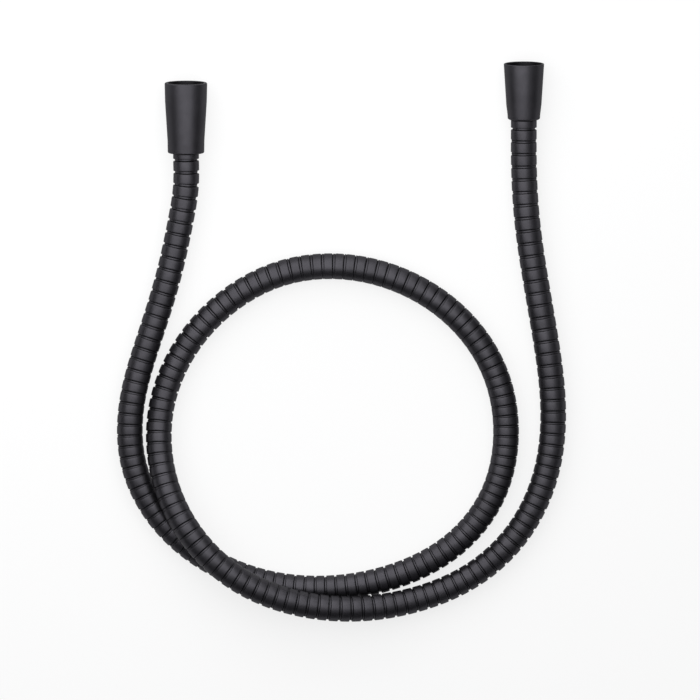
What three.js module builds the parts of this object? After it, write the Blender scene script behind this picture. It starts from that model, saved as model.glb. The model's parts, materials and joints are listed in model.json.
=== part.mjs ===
// Black metal shower hose with a long and a short cone nut, lying in one open loop on a flat surface.
// Millimetres, +Z up. The origin is on the surface, midway between the two connectors.
// +Y is the way that both nuts' mouths face.

import * as THREE from 'three';

// Hose
const HOSE_DIAMETER = 15;
const CASING_WALL = 1.5;
const INNER_HOSE_DIAMETER = 10.8;
const INNER_HOSE_WALL = 1.4;
const HOSE_STEP = 20;
const HOSE_SIDES = 12;

// Clearances
const SEAT_GAP = 0.3;
const SWIVEL_GAP = 0.2;
const SEAT_BORE_GAP = 0.35;

// What both connectors share, with depths counted from the nut's mouth
const THREAD_ROOT_DIAMETER = 21;
const THREAD_DEPTH = 8.6;
const THREAD_LEAD_IN = 0.4;
const WASHER_FACE_DEPTH = 7.9;
const WASHER_THICKNESS = 2.4;
const WASHER_BORE = 11;
const FLANGE_DIAMETER = 18.2;
const FLANGE_THICKNESS = 2;
const SLIP_RING_THICKNESS = 1.2;
const NECK_DIAMETER = 13.8;
const INSERT_BORE = 5.4;
const INSERT_TAIL = 16;
const BARB_COUNT = 4;
const BARB_DEPTH = 0.35;
const EDGE_CHAMFER = 0.3;
const TURNED_SIDES = 36;
const INNER_SIDES = 24;

// Long cone nut: places of its outer corners, as depth from the mouth and diameter
const LONG_NUT = {
	mouthX: - 97.7,
	mouthY: 16.5,
	length: 40.9,
	mouthDiameter: 24.7,
	waistDepth: 11,
	waistDiameter: 24.2,
	coneEndDepth: 33.6,
	coneEndDiameter: 21.4,
	endDiameter: 21.2,
	rim: 0.5,
	endChamfer: 0.5,
	collarLength: 3,
};

// Short cone nut
const SHORT_NUT = {
	mouthX: 97.9,
	mouthY: 27.5,
	length: 32.5,
	mouthDiameter: 23.4,
	waistDepth: 24,
	waistDiameter: 20.4,
	coneEndDepth: 29.6,
	coneEndDiameter: 19,
	endDiameter: 18.7,
	rim: 0.3,
	endChamfer: 0.6,
	collarLength: 4.4,
};

// The hose runs straight out of each collar for about a diameter
const STRAIGHT_OUT = 14;

// Route of the hose's centre from the long nut to the short nut. It lies on the surface, half its
// diameter up, comes down to it from the nuts, and rises over itself in one long low hump.
const REST = HOSE_DIAMETER / 2;
const ROUTE = [
	[ - 100.6, - 62.5, 8.6 ],
	[ - 108.7, - 98.6, 7.75 ],
	[ - 119.8, - 134.2, 7.55 ],
	[ - 129.2, - 169.5, REST ],
	[ - 128, - 206.6, REST ],
	[ - 110.9, - 239.1, REST ],
	[ - 82.4, - 262.5, REST ],
	[ - 48, - 275.3, REST ],
	[ - 11, - 277.5, REST ],
	[ 25, - 270, REST ],
	[ 57.5, - 252.3, REST ],
	[ 80.1, - 223.4, REST ],
	[ 87.8, - 187.2, REST ],
	[ 80.8, - 150.8, REST ],
	[ 60.2, - 120.7, REST ],
	[ 30, - 100.1, REST ],
	[ - 5.5, - 90.7, REST ],
	[ - 42.3, - 94.4, REST ],
	[ - 74.8, - 111.8, 7.6 ],
	[ - 99.2, - 139.2, 8 ],
	[ - 112.3, - 173.1, 9.6 ],
	[ - 111.2, - 209.8, 15.2 ],
	[ - 96.3, - 243.2, 22 ],
	[ - 70.5, - 269.1, 23.6 ],
	[ - 36.6, - 284.3, 21.8 ],
	[ - 0.3, - 288.8, 17.4 ],
	[ 36.5, - 283.7, 10.8 ],
	[ 70.3, - 268.7, 7.9 ],
	[ 96.5, - 242.8, 7.6 ],
	[ 111.4, - 209.3, REST ],
	[ 115.1, - 172.5, REST ],
	[ 111.2, - 135.7, REST ],
	[ 105, - 99.1, 7.55 ],
	[ 99.8, - 62.5, 7.75 ],
];

// Finishes
const blackMetal = new THREE.MeshStandardMaterial( { color: 0x2b2b2e, roughness: 0.42, metalness: 0.5 } );
const blackCasing = new THREE.MeshStandardMaterial( { color: 0x2a2a2d, roughness: 0.4, metalness: 0.5 } );
const steel = new THREE.MeshStandardMaterial( { color: 0x303033, roughness: 0.4, metalness: 0.6 } );
const brass = new THREE.MeshStandardMaterial( { color: 0xb08d4a, roughness: 0.35, metalness: 0.9 } );
const rubber = new THREE.MeshStandardMaterial( { color: 0x1b1b1c, roughness: 0.85, metalness: 0 } );
const hosePlastic = new THREE.MeshStandardMaterial( { color: 0x4a4c50, roughness: 0.6, metalness: 0 } );
const slipPlastic = new THREE.MeshStandardMaterial( { color: 0xdcdcd6, roughness: 0.5, metalness: 0 } );

// Depths and diameters that follow from the values above
const flangeFront = WASHER_FACE_DEPTH + WASHER_THICKNESS + SEAT_GAP;
const flangeBack = flangeFront + FLANGE_THICKNESS;
const slipFront = flangeBack + SEAT_GAP;
const shoulderDepth = slipFront + SLIP_RING_THICKNESS + SEAT_GAP;
const seatBore = FLANGE_DIAMETER + 2 * SEAT_BORE_GAP;
const rearBore = NECK_DIAMETER + 2 * SWIVEL_GAP;
const casingBore = HOSE_DIAMETER - 2 * CASING_WALL;
const innerHoseBore = INNER_HOSE_DIAMETER - 2 * INNER_HOSE_WALL;
const ferruleBore = INNER_HOSE_DIAMETER + 2 * SEAT_GAP;
const tailDiameter = innerHoseBore - 2 * SEAT_GAP;

function mesh( name, geometry, finish ) {

	const piece = new THREE.Mesh( geometry, finish.clone() );
	piece.name = name;
	return piece;

}

// A turned piece from its closed section, given as depth from the mouth and diameter
function turned( name, section, finish, sides ) {

	const outline = section.map( ( [ depth, diameter ] ) => new THREE.Vector2( diameter / 2, - depth ) );
	if ( THREE.ShapeUtils.area( outline ) < 0 ) outline.reverse();
	outline.push( outline[ 0 ].clone() );
	return mesh( name, new THREE.LatheGeometry( outline, sides ), finish );

}

// A plain ring with small chamfers on its outer edges
function ring( name, front, back, outside, bore, finish ) {

	return turned( name, [
		[ front, bore ],
		[ front, outside - 2 * EDGE_CHAMFER ],
		[ front + EDGE_CHAMFER, outside ],
		[ back - EDGE_CHAMFER, outside ],
		[ back, outside - 2 * EDGE_CHAMFER ],
		[ back, bore ],
	], finish, INNER_SIDES );

}

// The outside of a nut, from the mouth back to the hose
function nutOutside( nut ) {

	return [
		[ 0, nut.mouthDiameter - 2 * nut.rim ],
		[ nut.rim, nut.mouthDiameter ],
		[ nut.waistDepth, nut.waistDiameter ],
		[ nut.coneEndDepth, nut.coneEndDiameter ],
		[ nut.length - nut.endChamfer, nut.endDiameter ],
		[ nut.length, nut.endDiameter - 2 * nut.endChamfer ],
	];

}

function coneNut( name, nut ) {

	const inside = [
		[ nut.length, rearBore ],
		[ shoulderDepth, rearBore ],
		[ shoulderDepth, seatBore ],
		[ THREAD_DEPTH, seatBore ],
		[ THREAD_DEPTH, THREAD_ROOT_DIAMETER ],
		[ THREAD_LEAD_IN, THREAD_ROOT_DIAMETER ],
		[ 0, THREAD_ROOT_DIAMETER + 2 * THREAD_LEAD_IN ],
	];
	return turned( name, [ ...nutOutside( nut ), ...inside ], blackMetal, TURNED_SIDES );

}

// The sleeve that clamps the inner hose: a neck that the nut turns on, and the collar behind the nut
function ferrule( name, nut ) {

	const collarFront = nut.length + SEAT_GAP;
	const collarBack = collarFront + nut.collarLength;
	return turned( name, [
		[ slipFront, ferruleBore ],
		[ slipFront, NECK_DIAMETER ],
		[ collarFront, NECK_DIAMETER ],
		[ collarFront, HOSE_DIAMETER ],
		[ collarBack - EDGE_CHAMFER, HOSE_DIAMETER ],
		[ collarBack, HOSE_DIAMETER - 2 * EDGE_CHAMFER ],
		[ collarBack, ferruleBore ],
	], steel, INNER_SIDES );

}

// The spigot inside the hose's end: a flange that seals on the washer, and a barbed tail
function insert( name ) {

	const barbs = [];
	const pitch = INSERT_TAIL / BARB_COUNT;
	for ( let barb = 0; barb < BARB_COUNT; barb ++ ) {

		const start = flangeBack + barb * pitch;
		barbs.push( [ start, tailDiameter - 2 * BARB_DEPTH ] );
		barbs.push( [ start + pitch / 4, tailDiameter ] );

	}

	const tailEnd = flangeBack + INSERT_TAIL;
	return turned( name, [
		[ flangeFront, INSERT_BORE ],
		[ flangeFront, FLANGE_DIAMETER - 2 * EDGE_CHAMFER ],
		[ flangeFront + EDGE_CHAMFER, FLANGE_DIAMETER ],
		[ flangeBack, FLANGE_DIAMETER ],
		...barbs,
		[ tailEnd, tailDiameter - 2 * BARB_DEPTH ],
		[ tailEnd, INSERT_BORE ],
	], brass, INNER_SIDES );

}

// How far a nut's axis tilts when it lies on its side: the angle of the flat line under it that
// bears the middle of the nut, with its mouth the higher end
function lyingTilt( nut ) {

	const outside = nutOutside( nut );
	const middle = nut.length / 2;
	let lowest = Infinity;
	let tilt = 0;
	for ( const [ frontDepth, frontDiameter ] of outside.filter( ( [ depth ] ) => depth < middle ) ) {

		for ( const [ backDepth, backDiameter ] of outside.filter( ( [ depth ] ) => depth >= middle ) ) {

			const slope = ( frontDiameter - backDiameter ) / 2 / ( backDepth - frontDepth );
			const reach = Math.max( ...outside.map( ( [ depth, diameter ] ) =>
				diameter / 2 - slope * ( middle - depth ) ) );
			if ( reach < lowest ) {

				lowest = reach;
				tilt = Math.atan( slope );

			}

		}

	}

	return tilt;

}

// A connector lies on its nut's side. Its group has its origin at the mouth, and +Y out of the mouth
function placedConnector( prefix, nut ) {

	const tilt = lyingTilt( nut );
	const height = Math.max( ...nutOutside( nut ).map( ( [ depth, diameter ] ) =>
		depth * Math.sin( tilt ) + diameter / 2 * Math.cos( tilt ) ) );
	const group = new THREE.Group();
	group.position.set( nut.mouthX, nut.mouthY, height );
	group.rotation.x = tilt;
	group.add( coneNut( prefix + '_cone_nut', nut ) );
	group.add( ring( prefix + '_washer', WASHER_FACE_DEPTH, WASHER_FACE_DEPTH + WASHER_THICKNESS,
		FLANGE_DIAMETER, WASHER_BORE, rubber ) );
	group.add( insert( prefix + '_insert' ) );
	group.add( ring( prefix + '_slip_ring', slipFront, slipFront + SLIP_RING_THICKNESS,
		FLANGE_DIAMETER, rearBore, slipPlastic ) );
	group.add( ferrule( prefix + '_ferrule', nut ) );
	group.updateMatrixWorld();
	return group;

}

const longConnector = placedConnector( 'long', LONG_NUT );
const shortConnector = placedConnector( 'short', SHORT_NUT );

// A point on a connector's axis
function onAxis( connector, depth ) {

	return connector.localToWorld( new THREE.Vector3( 0, - depth, 0 ) );

}

// The inner hose butts on each insert's flange, and the casing on each ferrule's collar
const innerHoseDepth = flangeBack + SEAT_GAP;

function casingDepth( nut ) {

	return nut.length + nut.collarLength + 2 * SEAT_GAP;

}

const route = new THREE.CatmullRomCurve3( [
	onAxis( longConnector, innerHoseDepth ),
	onAxis( longConnector, casingDepth( LONG_NUT ) ),
	onAxis( longConnector, casingDepth( LONG_NUT ) + STRAIGHT_OUT ),
	...ROUTE.map( ( point ) => new THREE.Vector3( ...point ) ),
	onAxis( shortConnector, casingDepth( SHORT_NUT ) + STRAIGHT_OUT ),
	onAxis( shortConnector, casingDepth( SHORT_NUT ) ),
	onAxis( shortConnector, innerHoseDepth ),
] );
route.arcLengthDivisions = 4000;
const routeLength = route.getLength();

// The casing's ends along the route, and the stations at which both tubes bend
const casingFrom = casingDepth( LONG_NUT ) - innerHoseDepth;
const casingTo = routeLength - ( casingDepth( SHORT_NUT ) - innerHoseDepth );
const casingSteps = Math.round( ( casingTo - casingFrom ) / HOSE_STEP );
const casingStations = [];
for ( let step = 0; step <= casingSteps; step ++ ) {

	casingStations.push( THREE.MathUtils.lerp( casingFrom, casingTo, step / casingSteps ) );

}

// The route seen through a list of stations, which are distances along it
class HoseStretch extends THREE.Curve {

	constructor( stations ) {

		super();
		this.stations = stations;

	}

	share( u ) {

		return this.stations[ Math.round( u * ( this.stations.length - 1 ) ) ] / routeLength;

	}

	getPointAt( u ) {

		return route.getPointAt( this.share( u ) );

	}

	getTangentAt( u ) {

		return route.getTangentAt( this.share( u ) );

	}

}

function roundSection( diameter ) {

	const corners = [];
	for ( let side = 0; side < HOSE_SIDES; side ++ ) {

		const angle = side * 2 * Math.PI / HOSE_SIDES;
		corners.push( new THREE.Vector2( Math.cos( angle ), Math.sin( angle ) ).multiplyScalar( diameter / 2 ) );

	}

	return corners;

}

// A hollow tube through a list of stations
function tube( name, stations, diameter, bore, finish ) {

	const section = new THREE.Shape( roundSection( diameter ) );
	section.holes.push( new THREE.Path( roundSection( bore ) ) );
	return mesh( name, new THREE.ExtrudeGeometry( section, {
		steps: stations.length - 1,
		extrudePath: new HoseStretch( stations ),
	} ), finish );

}

const innerHoseStations = [ 0, ...casingStations, routeLength ];

const showerHose = new THREE.Group();
showerHose.add( tube( 'hose_casing', casingStations, HOSE_DIAMETER, casingBore, blackCasing ) );
showerHose.add( tube( 'inner_hose', innerHoseStations, INNER_HOSE_DIAMETER, innerHoseBore, hosePlastic ) );
showerHose.add( longConnector, shortConnector );

export default showerHose;
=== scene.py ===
"""Black metal shower hose lying in one open loop on a pale floor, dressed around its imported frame.

Lengths are metres in the part's own frame: +Z up, +Y the way that both nuts' mouths face.
"""

import json
import math

import bpy
import numpy as np
from bpy.props import FloatProperty, FloatVectorProperty, IntProperty, PointerProperty
from bpy.types import Operator, Panel, PropertyGroup
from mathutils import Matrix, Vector


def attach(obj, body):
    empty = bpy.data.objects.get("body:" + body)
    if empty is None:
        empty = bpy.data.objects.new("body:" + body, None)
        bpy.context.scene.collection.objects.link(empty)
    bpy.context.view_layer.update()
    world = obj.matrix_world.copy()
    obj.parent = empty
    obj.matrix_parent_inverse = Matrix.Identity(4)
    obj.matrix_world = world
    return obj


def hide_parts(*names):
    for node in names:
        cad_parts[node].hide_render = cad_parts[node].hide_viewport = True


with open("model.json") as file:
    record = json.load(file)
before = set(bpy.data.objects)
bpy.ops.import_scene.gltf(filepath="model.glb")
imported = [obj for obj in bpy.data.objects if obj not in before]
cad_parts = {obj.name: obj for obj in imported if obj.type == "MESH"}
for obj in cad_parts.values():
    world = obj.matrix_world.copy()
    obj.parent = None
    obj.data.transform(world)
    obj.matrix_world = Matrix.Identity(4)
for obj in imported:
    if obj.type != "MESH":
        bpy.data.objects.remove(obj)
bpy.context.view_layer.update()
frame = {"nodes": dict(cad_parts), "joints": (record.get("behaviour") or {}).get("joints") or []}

bl_info = {
    "name": "Shower Hose",
    "version": (1, 0, 0),
    "blender": (4, 5, 0),
    "location": "View3D > Sidebar > Shower Hose",
    "description": "Builds a banded metal shower hose with its two cone nuts",
    "category": "Object",
}

JOINTS = {joint["name"]: joint for joint in frame["joints"]}

# The hose's centre from the long nut to the short nut, as points in metres
REST = 0.0075  # height of the centre where the hose lies on the floor
ROUTE = [
    (-0.1006, -0.0625, 0.0086),
    (-0.1087, -0.0986, 0.00775),
    (-0.1198, -0.1342, 0.00755),
    (-0.1292, -0.1695, REST),
    (-0.128, -0.2066, REST),
    (-0.1109, -0.2391, REST),
    (-0.0824, -0.2625, REST),
    (-0.048, -0.2753, REST),
    (-0.011, -0.2775, REST),
    (0.025, -0.27, REST),
    (0.0575, -0.2523, REST),
    (0.0801, -0.2234, REST),
    (0.0878, -0.1872, REST),
    (0.0808, -0.1508, REST),
    (0.0602, -0.1207, REST),
    (0.03, -0.1001, REST),
    (-0.0055, -0.0907, REST),
    (-0.0423, -0.0944, REST),
    (-0.0748, -0.1118, 0.0076),
    (-0.0992, -0.1392, 0.008),
    (-0.1123, -0.1731, 0.0096),
    (-0.1112, -0.2098, 0.0152),
    (-0.0963, -0.2432, 0.022),
    (-0.0705, -0.2691, 0.0236),
    (-0.0366, -0.2843, 0.0218),
    (-0.0003, -0.2888, 0.0174),
    (0.0365, -0.2837, 0.0108),
    (0.0703, -0.2687, 0.0079),
    (0.0965, -0.2428, 0.0076),
    (0.1114, -0.2093, REST),
    (0.1151, -0.1725, REST),
    (0.1112, -0.1357, REST),
    (0.105, -0.0991, 0.00755),
    (0.0998, -0.0625, 0.00775),
]
STRAIGHT_OUT = 0.014  # how far the hose runs on straight from each connector

# How far the casing's bands are drawn out along the hose: distance from the long nut, pitch
BAND_PITCH = [
    (0.0, 0.00735),
    (0.05, 0.0072),
    (0.095, 0.0069),
    (0.13, 0.0065),
    (0.18, 0.006),
    (0.235, 0.0064),
    (0.29, 0.0061),
    (0.36, 0.0061),
    (0.425, 0.0056),
    (0.47, 0.0059),
    (0.53, 0.0059),
    (0.62, 0.0062),
    (0.72, 0.0066),
    (0.82, 0.0063),
    (0.89, 0.0062),
    (0.96, 0.0065),
    (1.055, 0.006),
    (1.105, 0.0061),
    (1.15, 0.0067),
    (1.19, 0.0071),
    (1.26, 0.0075),
    (1.31, 0.0074),
]

# How the grooves between the bands look: distance from the long nut, share of the full depth, and
# how wide and deep its two slits are, first the one nearer the long nut
GROOVES = [
    (0.0, 0.95, 0.6, 1.4),
    (0.038, 0.9, 0.6, 1.4),
    (0.045, 0.88, 1.2, 0.95),
    (0.06, 0.85, 1.2, 0.95),
    (0.1, 0.5, 1.15, 0.9),
    (0.14, 0.25, 1.1, 0.75),
    (0.18, 0.2, 1.1, 0.6),
    (0.22, 0.38, 1.15, 0.45),
    (0.26, 0.52, 1.15, 0.45),
    (0.3, 0.7, 1.15, 0.65),
    (0.36, 1.0, 1.1, 0.55),
    (0.4, 0.95, 1.1, 0.55),
    (0.42, 0.67, 1.1, 0.6),
    (0.44, 0.4, 0.85, 1.1),
    (0.475, 0.05, 0.75, 1.05),
    (0.5, 0.05, 0.7, 1.1),
    (0.53, 0.05, 0.35, 1.15),
    (0.6, 0.05, 0.35, 1.15),
    (0.64, 0.15, 0.6, 1.0),
    (0.66, 0.25, 1.15, 0.8),
    (0.7, 0.85, 1.2, 0.85),
    (0.735, 1.0, 1.2, 0.8),
    (0.77, 0.8, 1.15, 0.9),
    (0.81, 0.25, 1.1, 0.6),
    (0.84, 0.2, 1.1, 0.4),
    (0.87, 0.4, 1.15, 0.4),
    (0.9, 0.65, 1.15, 0.6),
    (0.95, 0.83, 1.2, 0.7),
    (1.0, 1.0, 1.2, 0.7),
    (1.02, 0.96, 1.2, 0.8),
    (1.03, 0.94, 0.85, 1.15),
    (1.05, 0.9, 0.85, 1.2),
    (1.14, 0.35, 0.85, 1.15),
    (1.22, 0.35, 0.95, 1.1),
    (1.26, 0.36, 1.15, 1.0),
    (1.304, 0.38, 1.15, 1.0),
    (1.31, 1.0, 1.15, 0.9),
]

# Outer corners of each nut: depth from the mouth, diameter
LONG_NUT = {
    "joint": "long_nut_swivel",
    "body": "long_nut",
    "length": 0.0409,
    "collar": 0.003,
    "outside": [
        (0.0, 0.0237),
        (0.0005, 0.0247),
        (0.011, 0.0242),
        (0.0336, 0.0214),
        (0.0409, 0.0212),
    ],
    "end_chamfer": 0.0005,
}
SHORT_NUT = {
    "joint": "short_nut_swivel",
    "body": "short_nut",
    "length": 0.0325,
    "collar": 0.0044,
    "outside": [
        (0.0, 0.0228),
        (0.0003, 0.0234),
        (0.024, 0.0204),
        (0.0296, 0.019),
        (0.0325, 0.0187),
    ],
    "end_chamfer": 0.0006,
}
CONNECTORS = {"long": LONG_NUT, "short": SHORT_NUT}

# How the casing and the inner hose are cut; a band's edge: distance in from it, drop below the top
BAND_EDGE = [(0.0, 0.00022), (0.0001, 0.00012), (0.0003, 0.00004), (0.0006, 0.0)]
SLIT_DROP = 0.0003  # how far a whole slit goes below its groove's floor at least
THINNEST_WALL = 0.0001  # least metal between a slit and the casing's bore
CASING_OVERHANG = 0.0002  # how far the casing's ends reach towards the collars
INSIDE_ROWS = 110  # rows of corners along the casing's bore
PATH_POINTS = 400  # points on the path that the casing's step works out and leaves unused
INNER_HOSE_ROWS = 280
INNER_HOSE_SIDES = 24

# How the thread's ridge is cut
THREAD_START = 0.9  # depth of its first end, in pitches
THREAD_TURNS = 3
THREAD_STEPS = 72  # sections to one turn
RIDGE_ROOT = 0.42  # half its width at the root, as a share of the pitch
RIDGE_CREST = 0.1  # and at the crest
THREAD_RUN_OUT = 14  # sections over which the ridge runs out at each end
THREAD_END_SHARE = 0.08  # share of the ridge's height that is left at its very end
THREAD_SINK = 0.00005  # how far its root is sunk into the wall

BARBS = 4  # on each insert's tail
BARB_FALL = 0.0007  # how much thinner the tail is between two barbs
BARB_RISE = 0.25  # share of a barb's length that rises

BORE_SHADE_MARK = "bore"  # attribute that marks the inside of a mouth, where painted shade darkens the coating
BORE_SHADE_TONE = 0.35  # how dark the painted shade makes the coating there


class HoseSizes(PropertyGroup):
    """Sizes of the hose and of its banded casing."""

    diameter: FloatProperty(
        name="Diameter", description="Outside diameter of the casing", default=0.015, unit="LENGTH"
    )
    casing_bore: FloatProperty(
        name="Casing bore", description="Inside diameter of the casing",
        default=0.012, unit="LENGTH",
    )
    inner_diameter: FloatProperty(
        name="Inner hose", description="Outside diameter of the inner hose",
        default=0.0108, unit="LENGTH",
    )
    inner_bore: FloatProperty(
        name="Waterway", description="Bore of the inner hose", default=0.008, unit="LENGTH"
    )
    band_share: FloatProperty(
        name="Band share", description="Part of the pitch that a band takes up",
        default=0.77, min=0.5, max=0.95,
    )
    slit_width: FloatProperty(
        name="Slit width", description="Width of a whole slit beside a band's edge",
        default=0.0004, unit="LENGTH",
    )
    slit_depth: FloatProperty(
        name="Slit depth", description="Depth of that slit below the bands",
        default=0.00075, unit="LENGTH",
    )
    first_join: FloatProperty(
        name="First groove", description="From the casing's end to the middle of its first groove",
        default=0.00016, unit="LENGTH",
    )
    groove_depth: FloatProperty(
        name="Groove depth", description="Depth of a groove that is fully open",
        default=0.001, unit="LENGTH",
    )
    sides: IntProperty(name="Sides", description="Faces round the casing", default=32, min=12)


class FittingSizes(PropertyGroup):
    """Sizes that both connectors share, with depths counted from the nut's mouth."""

    seat_gap: FloatProperty(
        name="Seat gap", description="Gap between pieces that touch", default=0.0003, unit="LENGTH"
    )
    thread_root: FloatProperty(
        name="Thread root", description="Diameter at the root of the thread",
        default=0.021, unit="LENGTH",
    )
    thread_crest: FloatProperty(
        name="Thread crest", description="Diameter between the thread's crests",
        default=0.0188, unit="LENGTH",
    )
    thread_pitch: FloatProperty(
        name="Thread pitch", description="Distance from one thread to the next",
        default=0.001814, unit="LENGTH",
    )
    thread_depth: FloatProperty(
        name="Thread depth", description="How deep the threaded bore goes",
        default=0.0086, unit="LENGTH",
    )
    lead_in: FloatProperty(
        name="Lead-in", description="Chamfer at the mouth of the bore",
        default=0.0004, unit="LENGTH",
    )
    washer_face: FloatProperty(
        name="Washer face", description="Depth of the washer's face", default=0.0079, unit="LENGTH"
    )
    washer_thickness: FloatProperty(
        name="Washer thickness", description="Thickness of the washer",
        default=0.0024, unit="LENGTH",
    )
    washer_bore: FloatProperty(
        name="Washer bore", description="Hole in the washer", default=0.011, unit="LENGTH"
    )
    flange_diameter: FloatProperty(
        name="Flange", description="Diameter of flange, washer and slip ring",
        default=0.0182, unit="LENGTH",
    )
    flange_thickness: FloatProperty(
        name="Flange thickness", description="Thickness of the insert's flange",
        default=0.002, unit="LENGTH",
    )
    slip_thickness: FloatProperty(
        name="Slip ring", description="Thickness of the slip ring", default=0.0012, unit="LENGTH"
    )
    seat_bore: FloatProperty(
        name="Seat bore", description="Bore round the flange", default=0.0189, unit="LENGTH"
    )
    neck_diameter: FloatProperty(
        name="Neck", description="Diameter of the sleeve's neck", default=0.0138, unit="LENGTH"
    )
    rear_bore: FloatProperty(
        name="Rear bore", description="Bore of the nut round the neck",
        default=0.0142, unit="LENGTH",
    )
    insert_bore: FloatProperty(
        name="Insert bore", description="Waterway through the insert", default=0.0054, unit="LENGTH"
    )
    tail_diameter: FloatProperty(
        name="Tail", description="Diameter of the insert's barbs", default=0.0074, unit="LENGTH"
    )
    tail_length: FloatProperty(
        name="Tail length", description="Length of the insert's tail", default=0.016, unit="LENGTH"
    )
    sides: IntProperty(name="Sides", description="Faces round a turned piece", default=96, min=24)


class HoseColours(PropertyGroup):
    """Colours of the finishes, as they reflect light."""

    black: FloatVectorProperty(
        name="Black coating", description="Satin coating of casing, nuts and collars",
        subtype="COLOR", size=3, min=0, max=1, default=(0.042, 0.0405, 0.046),
    )
    brass: FloatVectorProperty(
        name="Brass", description="Bare brass of the inserts",
        subtype="COLOR", size=3, min=0, max=1, default=(0.43, 0.27, 0.085),
    )
    rubber: FloatVectorProperty(
        name="Rubber", description="Rubber of the washers",
        subtype="COLOR", size=3, min=0, max=1, default=(0.012, 0.012, 0.012),
    )
    inner_hose: FloatVectorProperty(
        name="Inner hose", description="Plastic of the inner hose",
        subtype="COLOR", size=3, min=0, max=1, default=(0.07, 0.072, 0.078),
    )
    slip_ring: FloatVectorProperty(
        name="Slip ring", description="White plastic of the slip rings",
        subtype="COLOR", size=3, min=0, max=1, default=(0.7, 0.7, 0.67),
    )
    floor: FloatVectorProperty(
        name="Floor", description="Pale floor",
        subtype="COLOR", size=3, min=0, max=1, default=(0.82, 0.82, 0.82),
    )


def hose_sizes():
    return bpy.context.scene.hose_sizes


def fitting_sizes():
    return bpy.context.scene.fitting_sizes


def colours():
    return bpy.context.scene.hose_colours


# The route

def on_axis(connector, depth):
    """A point on a connector's axis, that deep from its mouth."""
    joint = JOINTS[connector["joint"]]
    return Vector(joint["pos_m"]) - depth * Vector(joint["axis"]).normalized()


def casing_depth(connector):
    """How deep from the mouth the casing begins, behind the collar."""
    return connector["length"] + connector["collar"] + 2 * fitting_sizes().seat_gap


def inner_hose_depth():
    """How deep from the mouth the inner hose begins, behind the insert's flange."""
    f = fitting_sizes()
    return f.washer_face + f.washer_thickness + 2 * f.seat_gap + f.flange_thickness


def walk(points):
    """Distance walked along the points, from the first one on."""
    return np.concatenate([[0], np.cumsum(np.linalg.norm(np.diff(points, axis=0), axis=1))])


class HoseLine:
    """One smooth curve through the route's points, walked by distance from the casing's start."""

    STEP = 0.0005

    def __init__(self):
        ends = [casing_depth(LONG_NUT), casing_depth(SHORT_NUT)]
        points = [on_axis(LONG_NUT, inner_hose_depth()), on_axis(LONG_NUT, ends[0])]
        points.append(on_axis(LONG_NUT, ends[0] + STRAIGHT_OUT))
        points.extend(Vector(p) for p in ROUTE)
        points.append(on_axis(SHORT_NUT, ends[1] + STRAIGHT_OUT))
        points.append(on_axis(SHORT_NUT, ends[1]))
        points.append(on_axis(SHORT_NUT, inner_hose_depth()))
        self.points = np.array(points)
        self.knots = walk(self.points)
        self.slopes = self.solve_slopes()
        fine = np.linspace(0, self.knots[-1], int(self.knots[-1] / self.STEP))
        walked = walk(self.at_knot(fine))
        self.fine, self.walked = fine, walked
        self.start = float(np.interp(self.knots[1], fine, walked))
        self.end = float(np.interp(self.knots[-2], fine, walked))
        self.length = self.end - self.start

    def solve_slopes(self):
        """Slopes at the points that make the curve's bend run on without a step."""
        count, gap = len(self.points), np.diff(self.knots)
        rows, sides = np.zeros((count, count)), np.zeros((count, 3))
        steps = np.diff(self.points, axis=0)
        rows[0, 0] = rows[-1, -1] = 1
        sides[0], sides[-1] = steps[0] / gap[0], steps[-1] / gap[-1]
        for i in range(1, count - 1):
            rows[i, i - 1] = gap[i]
            rows[i, i] = 2 * (gap[i - 1] + gap[i])
            rows[i, i + 1] = gap[i - 1]
            sides[i] = 3 * (gap[i] * steps[i - 1] / gap[i - 1] + gap[i - 1] * steps[i] / gap[i])
        return np.linalg.solve(rows, sides)

    def at_knot(self, t, slope=False):
        """Points on the curve at each t, counted as the knots are, or the curve's slopes there."""
        i = np.clip(np.searchsorted(self.knots, t, side="right") - 1, 0, len(self.knots) - 2)
        gap = (self.knots[i + 1] - self.knots[i])[:, None]
        u = (t - self.knots[i])[:, None] / gap
        a, b = self.points[i], self.points[i + 1]
        m, n = self.slopes[i] * gap, self.slopes[i + 1] * gap
        if slope:
            return (
                (6 * u * u - 6 * u) * (a - b)
                + (3 * u * u - 4 * u + 1) * m + (3 * u * u - 2 * u) * n
            )
        return (
            (2 * u**3 - 3 * u * u + 1) * a + (u**3 - 2 * u * u + u) * m
            + (3 * u * u - 2 * u**3) * b + (u**3 - u * u) * n
        )

    def frames(self, distance):
        """Centre, sideways and upward direction at each distance from the casing's start."""
        t = np.interp(np.asarray(distance, float) + self.start, self.walked, self.fine)
        centre, along = self.at_knot(t), self.at_knot(t, slope=True)
        along /= np.linalg.norm(along, axis=1)[:, None]
        sideways = np.cross(along, (0, 0, 1))
        sideways /= np.linalg.norm(sideways, axis=1)[:, None]
        return centre, sideways, np.cross(sideways, along)


# Making meshes

def deselect():
    if bpy.context.object and bpy.context.object.mode != "OBJECT":
        bpy.ops.object.mode_set(mode="OBJECT")
    bpy.ops.object.select_all(action="DESELECT")


def choose(obj):
    """Makes one object the selected and active one."""
    deselect()
    obj.select_set(True)
    bpy.context.view_layer.objects.active = obj


def dress(obj, name, body, slot, material, *nodes):
    """Names a finished piece, gives it its finish and body, and hides the nodes it stands for."""
    obj.name = name
    obj.data.name = name
    obj.data.materials.clear()
    obj.data.materials.append(material)
    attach(obj, body)
    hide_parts(*nodes)


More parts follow.
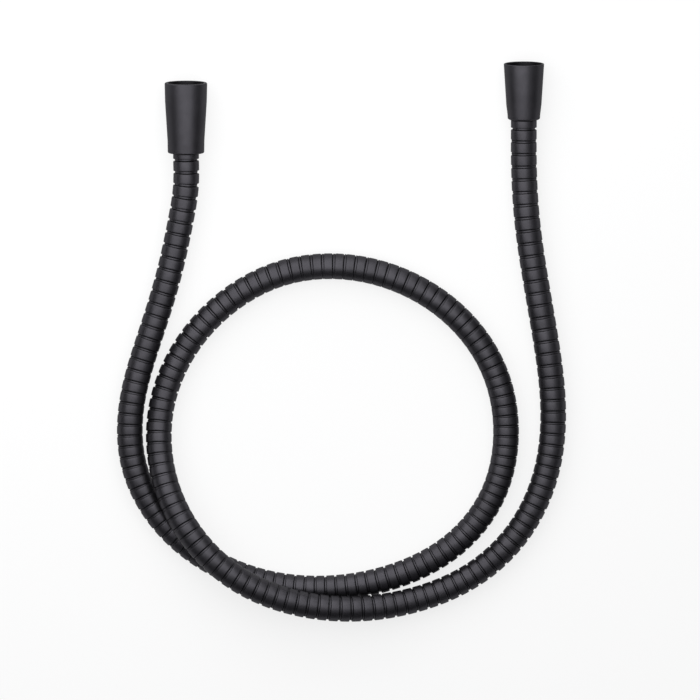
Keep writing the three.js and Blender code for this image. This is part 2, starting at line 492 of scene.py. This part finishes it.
def swept(name, line, rows, sides):
    """A closed hollow tube along the line. rows are (distance, radius, anchor) round its wall, out
    along the outside and back along the inside. Rows with one anchor stand square to it, as on a
    stiff band; a row whose anchor is its own distance follows the bend."""
    distance, radius, anchor = np.array(rows).T
    centre, sideways, up = line.frames(anchor)
    centre = centre + (distance - anchor)[:, None] * np.cross(up, sideways)
    turn = np.linspace(0, 2 * math.pi, sides, endpoint=False)
    ring = (
        np.cos(turn)[None, :, None] * sideways[:, None]
        + np.sin(turn)[None, :, None] * up[:, None]
    )
    points = (centre[:, None] + radius[:, None, None] * ring).reshape(-1, 3)
    row, side = np.meshgrid(np.arange(len(rows)), np.arange(sides), indexing="ij")
    next_row, next_side = (row + 1) % len(rows), (side + 1) % sides
    corners = [(row, side), (row, next_side), (next_row, next_side), (next_row, side)]
    faces = np.stack([at_row * sides + at_side for at_row, at_side in corners], axis=-1)
    mesh = bpy.data.meshes.new(name)
    mesh.from_pydata(points.tolist(), [], faces.reshape(-1, 4).tolist())
    mesh.validate()
    mesh.update()
    obj = bpy.data.objects.new(name, mesh)
    bpy.context.scene.collection.objects.link(obj)
    return obj


def face_outwards(obj):
    choose(obj)
    bpy.ops.object.mode_set(mode="EDIT")
    bpy.ops.mesh.select_all(action="SELECT")
    bpy.ops.mesh.normals_make_consistent(inside=False)
    bpy.ops.object.mode_set(mode="OBJECT")


def smooth_by_angle(obj, degrees):
    choose(obj)
    bpy.ops.object.shade_smooth_by_angle(angle=math.radians(degrees))


def turned(section, sides):
    """A solid of revolution about Z, from its closed section of (depth, diameter): a circle drawn
    out from corner to corner, and welded where it meets its start. The mouth is at the top."""
    deselect()
    depth, diameter = section[0]
    bpy.ops.mesh.primitive_circle_add(
        vertices=sides, radius=diameter / 2, fill_type="NOTHING", location=(0, 0, -depth)
    )
    obj = bpy.context.object
    bpy.ops.object.transform_apply(location=True, rotation=False, scale=False)
    bpy.ops.object.mode_set(mode="EDIT")
    bpy.ops.mesh.select_all(action="SELECT")
    for (from_depth, from_width), (to_depth, to_width) in zip(section, section[1:] + section[:1]):
        bpy.ops.mesh.extrude_edges_move(
            TRANSFORM_OT_translate={"value": (0, 0, from_depth - to_depth)}
        )
        ratio = to_width / from_width
        bpy.ops.transform.resize(value=(ratio, ratio, 1), center_override=(0, 0, 0))
    bpy.ops.mesh.select_all(action="SELECT")
    bpy.ops.mesh.remove_doubles(threshold=1e-7)
    bpy.ops.mesh.normals_make_consistent(inside=False)
    bpy.ops.object.mode_set(mode="OBJECT")
    return obj


def round_edges(obj, width, segments=3, degrees=25):
    choose(obj)
    soft = obj.modifiers.new("edges", "BEVEL")
    soft.width, soft.segments = width, segments
    soft.limit_method, soft.angle_limit = "ANGLE", math.radians(degrees)
    soft.use_clamp_overlap = True
    bpy.ops.object.modifier_apply(modifier=soft.name)


def place_on_axis(obj, connector):
    """Moves a piece made about Z, with the mouth at its origin, onto its connector's axis."""
    joint = JOINTS[connector["joint"]]
    axis = Vector(joint["axis"]).normalized()
    tilt = math.asin(axis.z)
    choose(obj)
    obj.rotation_euler = (tilt - math.pi / 2, 0, 0)
    obj.location = joint["pos_m"]
    bpy.ops.object.transform_apply(location=True, rotation=True, scale=True)


# Finishes

def new_material(name):
    material = bpy.data.materials.new(name)
    material.use_nodes = True
    return material, material.node_tree.nodes, material.node_tree.links


def add(nodes, kind, **values):
    node = nodes.new(kind)
    for name, value in values.items():
        if name in node.inputs:
            node.inputs[name].default_value = value
        else:
            setattr(node, name, value)
    return node


def grain(nodes, links, source, scale, low, high, detail=2.0):
    """Noise over the surface, spread between two values, and the plain noise."""
    noise = add(nodes, "ShaderNodeTexNoise", Scale=scale, Detail=detail)
    links.new(source, noise.inputs["Vector"])
    spread = nodes.new("ShaderNodeMapRange")
    limits = {"From Min": 0.3, "From Max": 0.7, "To Min": low, "To Max": high}
    for name, value in limits.items():
        spread.inputs[name].default_value = value
    links.new(noise.outputs["Fac"], spread.inputs["Value"])
    return spread.outputs["Result"], noise.outputs["Fac"]


def tinted(colour, factor):
    return tuple(channel * factor for channel in colour)


def two_tones(nodes, links, share, dark, light):
    """One colour where the share is 0, the other where it is 1."""
    mix = nodes.new("ShaderNodeMix")
    mix.data_type = "RGBA"
    mix.inputs["A"].default_value = (*dark, 1)
    mix.inputs["B"].default_value = (*light, 1)
    links.new(share, mix.inputs["Factor"])
    return mix.outputs["Result"]


def bump(nodes, links, height, strength, distance):
    raised = add(nodes, "ShaderNodeBump", Strength=strength, Distance=distance)
    links.new(height, raised.inputs["Height"])
    return raised.outputs["Normal"]


def satin_black(name, rough_low, rough_high):
    """Satin black coating on metal, with a fine even grain. Inside the mouths, where the mesh has
    the bore attribute, it is painted darker as shade."""
    material, nodes, links = new_material(name)
    shader = nodes["Principled BSDF"]
    shader.inputs["Metallic"].default_value = 0.9
    shader.inputs["Specular Tint"].default_value = (0.55, 0.55, 0.55, 1)
    place = nodes.new("ShaderNodeTexCoord").outputs["Object"]
    black = tuple(colours().black)
    tone, _ = grain(nodes, links, place, 90, 0.0, 1.0)
    outside = two_tones(nodes, links, tone, black, tinted(black, 1.2))
    # painted shade: the coating turns darker on the points inside the mouths
    bore_shade_share = add(nodes, "ShaderNodeAttribute", attribute_name=BORE_SHADE_MARK).outputs["Fac"]
    coat_and_painted_shade = two_tones(nodes, links, bore_shade_share, black, tinted(black, BORE_SHADE_TONE))
    links.new(outside, coat_and_painted_shade.node.inputs["A"])
    links.new(coat_and_painted_shade, shader.inputs["Base Color"])
    rough, _ = grain(nodes, links, place, 240, rough_low, rough_high)
    links.new(rough, shader.inputs["Roughness"])
    _, fine = grain(nodes, links, place, 2600, 0.0, 1.0, detail=3.0)
    links.new(bump(nodes, links, fine, 0.06, 0.00004), shader.inputs["Normal"])
    return material


def turned_brass():
    """Bare brass, a little dulled in places, with a fine grain."""
    material, nodes, links = new_material("turned_brass")
    shader = nodes["Principled BSDF"]
    shader.inputs["Metallic"].default_value = 1
    place = nodes.new("ShaderNodeTexCoord").outputs["Object"]
    tone, _ = grain(nodes, links, place, 350, 0.0, 1.0)
    bright = tuple(colours().brass)
    brass = two_tones(nodes, links, tone, tinted(bright, 0.75), bright)
    links.new(brass, shader.inputs["Base Color"])
    rough, _ = grain(nodes, links, place, 700, 0.25, 0.4)
    links.new(rough, shader.inputs["Roughness"])
    _, fine = grain(nodes, links, place, 5000, 0.0, 1.0)
    links.new(bump(nodes, links, fine, 0.1, 0.00003), shader.inputs["Normal"])
    return material


def matt(name, colour, grain_scale, rough_low, rough_high):
    """Rubber or plastic with a fine moulded grain."""
    material, nodes, links = new_material(name)
    shader = nodes["Principled BSDF"]
    place = nodes.new("ShaderNodeTexCoord").outputs["Object"]
    tone, _ = grain(nodes, links, place, grain_scale, 0.0, 1.0)
    base = two_tones(nodes, links, tone, tinted(colour, 0.8), colour)
    links.new(base, shader.inputs["Base Color"])
    rough, _ = grain(nodes, links, place, grain_scale * 2, rough_low, rough_high)
    links.new(rough, shader.inputs["Roughness"])
    _, fine = grain(nodes, links, place, grain_scale * 10, 0.0, 1.0)
    links.new(bump(nodes, links, fine, 0.2, 0.00005), shader.inputs["Normal"])
    return material


# The pieces

def band_joins(line):
    """Where one band ends and the next begins, with a whole number of bands from end to end."""
    sizes = hose_sizes()
    along = np.linspace(sizes.first_join, line.length - sizes.first_join, 4000)
    stations, pitches = np.array(BAND_PITCH).T
    bands_per_metre = 1 / np.interp(along, stations * line.length / stations[-1], pitches)
    between = (bands_per_metre[1:] + bands_per_metre[:-1]) / 2 * np.diff(along)
    count = np.concatenate([[0], np.cumsum(between)])
    bands = round(count[-1])
    return np.interp(np.arange(bands + 1), count * bands / count[-1], along).tolist()


def band_rows(line):
    """The casing's wall as (distance, radius, anchor): stiff bands with rounded edges, and between
    them a groove with a slit at each side, then back along the inside."""
    sizes = hose_sizes()
    top, bore = sizes.diameter / 2, sizes.casing_bore / 2
    edge = [(along, top - drop) for along, drop in BAND_EDGE]
    stations, depths, near_slits, far_slits = np.array(GROOVES).T

    def along_hose(distance, values):
        return float(np.interp(distance, stations * line.length / stations[-1], values))

    def groove_floor(distance):
        return top - sizes.groove_depth * along_hose(distance, depths)

    def slit(distance, shares):
        """Width and floor of one of a groove's slits."""
        share = along_hose(distance, shares)
        below_groove = groove_floor(distance) - SLIT_DROP * share
        floor = min(top - sizes.slit_depth * share, below_groove)
        return sizes.slit_width * share, max(floor, bore + THINNEST_WALL)

    first, last = -CASING_OVERHANG, line.length + CASING_OVERHANG
    rows = [(first, groove_floor(first), first)]
    joins = band_joins(line)
    for start, end in zip(joins, joins[1:]):
        gap = (end - start) * (1 - sizes.band_share)
        begin, finish, middle = start + gap / 2, end - gap / 2, (start + end) / 2
        width, floor = slit(start, far_slits)
        rows.append((begin - width, groove_floor(start), begin - width))
        rows.append((begin - width / 2, floor, begin - width / 2))
        rows.extend((begin + along, radius, middle) for along, radius in edge)
        rows.extend((finish - along, radius, middle) for along, radius in reversed(edge))
        width, floor = slit(end, near_slits)
        rows.append((finish + width / 2, floor, finish + width / 2))
        rows.append((finish + width, groove_floor(end), finish + width))
    rows.append((last, groove_floor(last), last))
    inside = np.linspace(last, first, INSIDE_ROWS)
    rows.extend((distance, bore, distance) for distance in inside.tolist())
    return rows


class HOSE_OT_casing(Operator):
    """The banded metal casing, one closed tube along the route"""

    bl_idname = "hose.casing"
    bl_label = "Casing"

    def execute(self, context):
        sizes = hose_sizes()
        line = HoseLine()
        casing = swept("casing", line, band_rows(line), sizes.sides)
        face_outwards(casing)
        smooth_by_angle(casing, 35)
        coating = satin_black("casing_coating", 0.38, 0.44)
        dress(casing, "banded_casing", "hose", "casing_black", coating, "hose_casing")
        path, _, _ = line.frames(np.linspace(0, line.length, PATH_POINTS))
        return {"FINISHED"}


class HOSE_OT_inner_hose(Operator):
    """The inner hose that carries the water, from flange to flange"""

    bl_idname = "hose.inner_hose"
    bl_label = "Inner hose"

    def execute(self, context):
        sizes = hose_sizes()
        line = HoseLine()
        along = np.linspace(-line.start, line.walked[-1] - line.start, INNER_HOSE_ROWS)
        rows = [(distance, sizes.inner_diameter / 2, distance) for distance in along]
        rows += [(distance, sizes.inner_bore / 2, distance) for distance in along[::-1]]
        hose = swept("inner", line, rows, INNER_HOSE_SIDES)
        face_outwards(hose)
        smooth_by_angle(hose, 50)
        grey = matt("hose_plastic", colours().inner_hose, 120, 0.45, 0.6)
        dress(hose, "water_hose", "hose", "inner_hose_plastic", grey, "inner_hose")
        return {"FINISHED"}


def nut_section(connector):
    """The nut's closed section: down its outside from the mouth, and back up its stepped bore."""
    f = fitting_sizes()
    length, chamfer = connector["length"], connector["end_chamfer"]
    outside = list(connector["outside"][:-1])
    end_width = connector["outside"][-1][1]
    outside += [(length - chamfer, end_width), (length, end_width - 2 * chamfer)]
    shoulder = inner_hose_depth() + f.slip_thickness + f.seat_gap
    return outside + [
        (length, f.rear_bore),
        (shoulder, f.rear_bore),
        (shoulder, f.seat_bore),
        (f.thread_depth, f.seat_bore),
        (f.thread_depth, f.thread_root),
        (f.lead_in, f.thread_root),
        (0.0, f.thread_root + 2 * f.lead_in),
    ]


def thread_ridge():
    """The thread's ridge: a small four-cornered section wound down the bore, which runs out into
    the bore's wall at both ends and is closed there."""
    f = fitting_sizes()
    root, crest = f.thread_root / 2 + THREAD_SINK, f.thread_crest / 2
    half_root, half_crest = f.thread_pitch * RIDGE_ROOT, f.thread_pitch * RIDGE_CREST
    deselect()
    bpy.ops.mesh.primitive_circle_add(vertices=4, radius=0.001, fill_type="NOTHING")
    ridge = bpy.context.object
    corners = [(root, half_root), (crest, half_crest), (crest, -half_crest), (root, -half_root)]
    for vertex, (radius, height) in zip(ridge.data.vertices, corners):
        vertex.co = (radius, 0, height - f.thread_pitch * (THREAD_TURNS + THREAD_START))
    wind = ridge.modifiers.new("wind", "SCREW")
    wind.axis, wind.steps, wind.render_steps = "Z", THREAD_STEPS, THREAD_STEPS
    wind.iterations, wind.screw_offset = THREAD_TURNS, f.thread_pitch
    wind.use_smooth_shade = False
    bpy.ops.object.modifier_apply(modifier=wind.name)
    sections = len(ridge.data.vertices) // len(corners)
    for index, vertex in enumerate(ridge.data.vertices):
        section = index // len(corners)
        from_end = min(section, sections - 1 - section)
        radius = math.hypot(vertex.co.x, vertex.co.y)
        if radius < (root + crest) / 2 and from_end < THREAD_RUN_OUT:
            share = THREAD_END_SHARE + (1 - THREAD_END_SHARE) * from_end / THREAD_RUN_OUT
            vertex.co.xy *= (root - (root - radius) * share) / radius
    bpy.ops.object.mode_set(mode="EDIT")
    bpy.ops.mesh.select_all(action="SELECT")
    bpy.ops.mesh.fill_holes(sides=4)
    bpy.ops.mesh.select_all(action="SELECT")
    bpy.ops.mesh.normals_make_consistent(inside=False)
    bpy.ops.object.mode_set(mode="OBJECT")
    return ridge


def mark_bore_shade(nut):
    """Marks the points inside the mouth where the coating gets painted shade, while the nut stands
    about Z.
    """
    f = fitting_sizes()
    reach, deepest = (f.thread_root + f.lead_in) / 2, inner_hose_depth()
    marks = nut.data.attributes.new(BORE_SHADE_MARK, "FLOAT", "POINT")
    for vertex, mark in zip(nut.data.vertices, marks.data):
        x, y, z = vertex.co
        mark.value = float(math.hypot(x, y) < reach and -z < deepest)


class HOSE_OT_nuts(Operator):
    """The long and the short cone nut, with the threads in their mouths"""

    bl_idname = "hose.nuts"
    bl_label = "Cone nuts"

    def execute(self, context):
        coating = satin_black("nut_coating", 0.42, 0.48)
        for prefix, connector in CONNECTORS.items():
            nut = turned(nut_section(connector), fitting_sizes().sides)
            round_edges(nut, 0.00022)
            ridge = thread_ridge()
            deselect()
            ridge.select_set(True)
            nut.select_set(True)
            bpy.context.view_layer.objects.active = nut
            bpy.ops.object.join()
            # marks the mouth's inside, where painted shade darkens the coating
            mark_bore_shade(nut)
            place_on_axis(nut, connector)
            smooth_by_angle(nut, 30)
            name, node = prefix + "_nut_shell", prefix + "_cone_nut"
            dress(nut, name, connector["body"], "nut_black", coating, node)
        return {"FINISHED"}


class HOSE_OT_ferrules(Operator):
    """The sleeve behind each nut, whose collar shows"""

    bl_idname = "hose.ferrules"
    bl_label = "Ferrules"

    def execute(self, context):
        f, sizes = fitting_sizes(), hose_sizes()
        coating = satin_black("collar_coating", 0.42, 0.46)
        bore = sizes.inner_diameter + 2 * f.seat_gap
        for prefix, connector in CONNECTORS.items():
            front = connector["length"] + f.seat_gap
            back = front + connector["collar"]
            section = [
                (inner_hose_depth(), bore),
                (inner_hose_depth(), f.neck_diameter),
                (front, f.neck_diameter),
                (front, sizes.diameter),
                (back, sizes.diameter),
                (back, bore),
            ]
            sleeve = turned(section, f.sides)
            round_edges(sleeve, 0.00025)
            place_on_axis(sleeve, connector)
            smooth_by_angle(sleeve, 30)
            name, node = prefix + "_sleeve", prefix + "_ferrule"
            dress(sleeve, name, "hose", "ferrule_black", coating, node)
        return {"FINISHED"}


class HOSE_OT_inserts(Operator):
    """The brass insert in each end, with its flange and its barbed tail"""

    bl_idname = "hose.inserts"
    bl_label = "Inserts"

    def execute(self, context):
        f = fitting_sizes()
        brass = turned_brass()
        front = f.washer_face + f.washer_thickness + f.seat_gap
        back = front + f.flange_thickness
        pitch, between = f.tail_length / BARBS, f.tail_diameter - BARB_FALL
        for prefix, connector in CONNECTORS.items():
            section = [
                (front, f.insert_bore),
                (front, f.flange_diameter),
                (back, f.flange_diameter),
            ]
            for barb in range(BARBS):
                section.append((back + barb * pitch, between))
                section.append((back + (barb + BARB_RISE) * pitch, f.tail_diameter))
            section.append((back + f.tail_length, between))
            section.append((back + f.tail_length, f.insert_bore))
            insert = turned(section, f.sides)
            round_edges(insert, 0.00015, segments=2)
            place_on_axis(insert, connector)
            smooth_by_angle(insert, 30)
            name, node = prefix + "_spigot", prefix + "_insert"
            dress(insert, name, "hose", "insert_brass", brass, node)
        return {"FINISHED"}


class HOSE_OT_washers(Operator):
    """The sealing washer in each mouth"""

    bl_idname = "hose.washers"
    bl_label = "Washers"

    def execute(self, context):
        f = fitting_sizes()
        rubber = matt("washer_rubber", colours().rubber, 300, 0.6, 0.8)
        front, back = f.washer_face, f.washer_face + f.washer_thickness
        for prefix, connector in CONNECTORS.items():
            section = [
                (front, f.washer_bore),
                (front, f.flange_diameter),
                (back, f.flange_diameter),
                (back, f.washer_bore),
            ]
            washer = turned(section, f.sides)
            round_edges(washer, 0.0003)
            place_on_axis(washer, connector)
            smooth_by_angle(washer, 30)
            name, node = prefix + "_seal", prefix + "_washer"
            dress(washer, name, connector["body"], "washer_rubber", rubber, node)
        return {"FINISHED"}


class HOSE_OT_slip_rings(Operator):
    """The slip ring inside each nut, which keeps its own shape and gets its finish"""

    bl_idname = "hose.slip_rings"
    bl_label = "Slip rings"

    def execute(self, context):
        white = matt("slip_plastic", colours().slip_ring, 200, 0.35, 0.5)
        for prefix in CONNECTORS:
            ring = frame["nodes"][prefix + "_slip_ring"]
            ring.data.materials.clear()
            ring.data.materials.append(white)
        return {"FINISHED"}


# Stage

VIEW_TARGET = (-0.00275, -0.139, 0.0075)
VIEW_TILT = 4.2  # degrees off straight down
VIEW_LENS = 600  # millimetres
SENSOR = 36  # millimetres
PHOTO_WIDTH = 0.406  # how much of the floor the picture spans, in metres
FLOOR_SIZE = 12
FLOOR_HEIGHT = -0.0002
FLOOR_GLOW = 0.78  # how much of the floor shows as plain white
WORLD_TINT = (0.93, 0.95, 1, 1)
WORLD_STRENGTH = 0.12
LOOP_CENTRE = (0, -0.13, 0)

# Area lamps: name, place, what it points at, width and height, watts, spread in degrees
LAMPS = [
    ("top_light", (-0.22, 0.23, 0.6), (-0.22, 0.23, 0), (1.1, 1.0), 6.5, 180),
    ("wide_light", (-0.3, 0.3, 1.0), (-0.3, 0.3, 0), (3.6, 2.2), 8.5, 140),
    ("far_light", (-0.2, 1.1, 0.5), LOOP_CENTRE, (2.0, 0.9), 10, 180),
]


def add_camera():
    """A long lens straight over the hose, tipped a little towards the nuts' mouths."""
    data = bpy.data.cameras.new("camera")
    data.lens, data.sensor_width = VIEW_LENS, SENSOR
    camera = bpy.data.objects.new("camera", data)
    bpy.context.scene.collection.objects.link(camera)
    tilt = math.radians(VIEW_TILT)
    back = PHOTO_WIDTH * VIEW_LENS / SENSOR
    camera.location = Vector(VIEW_TARGET) + back * Vector((0, math.sin(tilt), math.cos(tilt)))
    camera.rotation_euler = (-tilt, 0, 0)
    bpy.context.scene.camera = camera


def add_lamp(name, location, target, size, power, spread):
    data = bpy.data.lights.new(name, "AREA")
    data.shape, data.size, data.size_y, data.energy = "RECTANGLE", size[0], size[1], power
    data.spread = math.radians(spread)
    lamp = bpy.data.objects.new(name, data)
    bpy.context.scene.collection.objects.link(lamp)
    lamp.location = location
    lamp.rotation_euler = (Vector(target) - Vector(location)).to_track_quat("-Z", "Y").to_euler()


def seen_plainly(nodes, links):
    """1 for rays from the camera, from glossy and from clear surfaces, and 0 for the rest."""
    rays = nodes.new("ShaderNodeLightPath")
    first = add(nodes, "ShaderNodeMath", operation="MAXIMUM")
    second = add(nodes, "ShaderNodeMath", operation="MAXIMUM")
    links.new(rays.outputs["Is Camera Ray"], first.inputs[0])
    links.new(rays.outputs["Is Glossy Ray"], first.inputs[1])
    links.new(first.outputs[0], second.inputs[0])
    links.new(rays.outputs["Is Transmission Ray"], second.inputs[1])
    return second.outputs[0]


def floor_material():
    """Pale floor that shows nearly white and still keeps the hose's soft shadow."""
    material, nodes, links = new_material("floor")
    nodes.remove(nodes["Principled BSDF"])
    out = nodes["Material Output"]
    matt_floor = add(nodes, "ShaderNodeBsdfDiffuse", Color=(*colours().floor, 1))
    glow = add(nodes, "ShaderNodeEmission", Color=(1, 1, 1, 1), Strength=1.0)
    shown = add(nodes, "ShaderNodeMixShader")
    shown.inputs[0].default_value = FLOOR_GLOW
    links.new(matt_floor.outputs[0], shown.inputs[1])
    links.new(glow.outputs[0], shown.inputs[2])
    choice = add(nodes, "ShaderNodeMixShader")
    links.new(seen_plainly(nodes, links), choice.inputs[0])
    links.new(matt_floor.outputs[0], choice.inputs[1])
    links.new(shown.outputs[0], choice.inputs[2])
    links.new(choice.outputs[0], out.inputs["Surface"])
    return material


def light_world():
    """Even light from all round, and a white background."""
    world = bpy.data.worlds.new("world")
    world.use_nodes = True
    bpy.context.scene.world = world
    nodes, links = world.node_tree.nodes, world.node_tree.links
    light = nodes["Background"]
    light.inputs["Color"].default_value = WORLD_TINT
    light.inputs["Strength"].default_value = WORLD_STRENGTH
    white = add(nodes, "ShaderNodeBackground", Color=(1, 1, 1, 1), Strength=1.0)
    choice = add(nodes, "ShaderNodeMixShader")
    rays = nodes.new("ShaderNodeLightPath")
    links.new(rays.outputs["Is Camera Ray"], choice.inputs[0])
    links.new(light.outputs[0], choice.inputs[1])
    links.new(white.outputs[0], choice.inputs[2])
    links.new(choice.outputs[0], nodes["World Output"].inputs["Surface"])


class HOSE_OT_stage(Operator):
    """Camera, pale floor and soft lamps"""

    bl_idname = "hose.stage"
    bl_label = "Stage"

    def execute(self, context):
        add_camera()
        deselect()
        bpy.ops.mesh.primitive_plane_add(size=FLOOR_SIZE, location=(0, 0, FLOOR_HEIGHT))
        floor = context.object
        floor.name = "floor"
        floor.data.materials.append(floor_material())
        light_world()
        for lamp in LAMPS:
            add_lamp(*lamp)
        context.scene.view_settings.view_transform = "Standard"
        return {"FINISHED"}


class HOSE_PT_panel(Panel):
    """Lists the hose's pieces and their sizes"""

    bl_label = "Shower Hose"
    bl_idname = "HOSE_PT_panel"
    bl_space_type = "VIEW_3D"
    bl_region_type = "UI"
    bl_category = "Shower Hose"

    def draw(self, context):
        for group in (hose_sizes(), fitting_sizes(), colours()):
            box = self.layout.box()
            for name in group.__annotations__:
                box.prop(group, name)
        for operator in OPERATORS:
            self.layout.operator(operator.bl_idname)


OPERATORS = (
    HOSE_OT_stage,
    HOSE_OT_casing,
    HOSE_OT_inner_hose,
    HOSE_OT_nuts,
    HOSE_OT_ferrules,
    HOSE_OT_inserts,
    HOSE_OT_washers,
    HOSE_OT_slip_rings,
)
CLASSES = (HoseSizes, FittingSizes, HoseColours, *OPERATORS, HOSE_PT_panel)


def register():
    for cls in CLASSES:
        bpy.utils.register_class(cls)
    bpy.types.Scene.hose_sizes = PointerProperty(type=HoseSizes)
    bpy.types.Scene.fitting_sizes = PointerProperty(type=FittingSizes)
    bpy.types.Scene.hose_colours = PointerProperty(type=HoseColours)


def unregister():
    del bpy.types.Scene.hose_colours
    del bpy.types.Scene.fitting_sizes
    del bpy.types.Scene.hose_sizes
    for cls in reversed(CLASSES):
        bpy.utils.unregister_class(cls)


def main():
    register()
    bpy.ops.hose.stage()
    bpy.ops.hose.casing()
    bpy.ops.hose.inner_hose()
    bpy.ops.hose.nuts()
    bpy.ops.hose.ferrules()
    bpy.ops.hose.inserts()
    bpy.ops.hose.washers()
    bpy.ops.hose.slip_rings()


if __name__ == "__main__":
    main()
